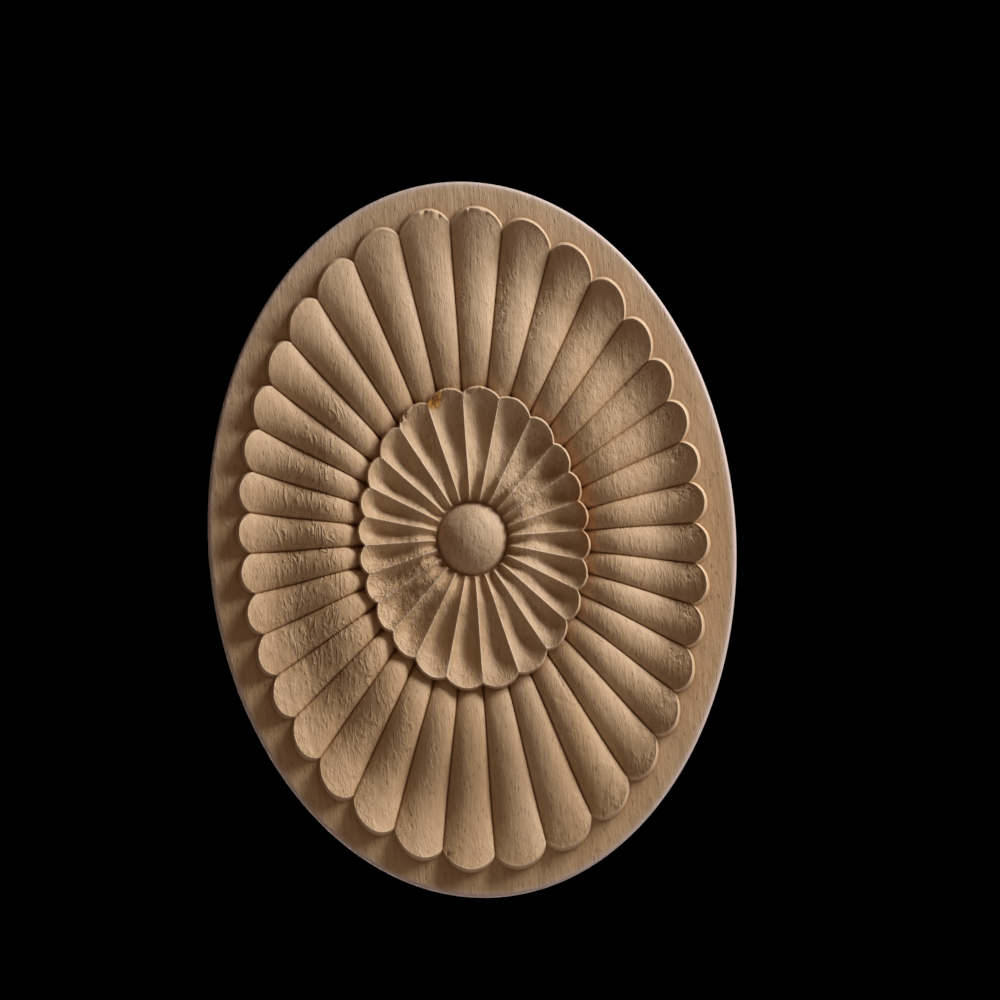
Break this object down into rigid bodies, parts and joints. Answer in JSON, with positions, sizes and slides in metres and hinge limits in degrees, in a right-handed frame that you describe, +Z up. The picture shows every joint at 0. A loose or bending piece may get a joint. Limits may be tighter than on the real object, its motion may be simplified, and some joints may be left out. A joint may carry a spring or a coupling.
{
  "type": "carved oval rosette applique",
  "caption": "Flat-backed oval wooden rosette applique with a ring of rounded petals, a smaller fluted rosette and a domed button, for fixing on furniture, doors or walls.",
  "frame": {"origin": "centre of the flat back face, where the rosette is glued or pinned to what carries it", "axes": "+Z up along the oval's long axis, -Y out of the carved face, +Y out of the flat back, +X to the viewer's right"},
  "size_m": [0.1396, 0.0127, 0.19],
  "materials": {
    "bare_wood": "bare sanded beech-like wood, pale brown, matt, with fine upright grain and tool marks left in the carving"
  },
  "bodies": {
    "root": {"oval_rosette": "bare_wood"}
  },
  "joints": []
}
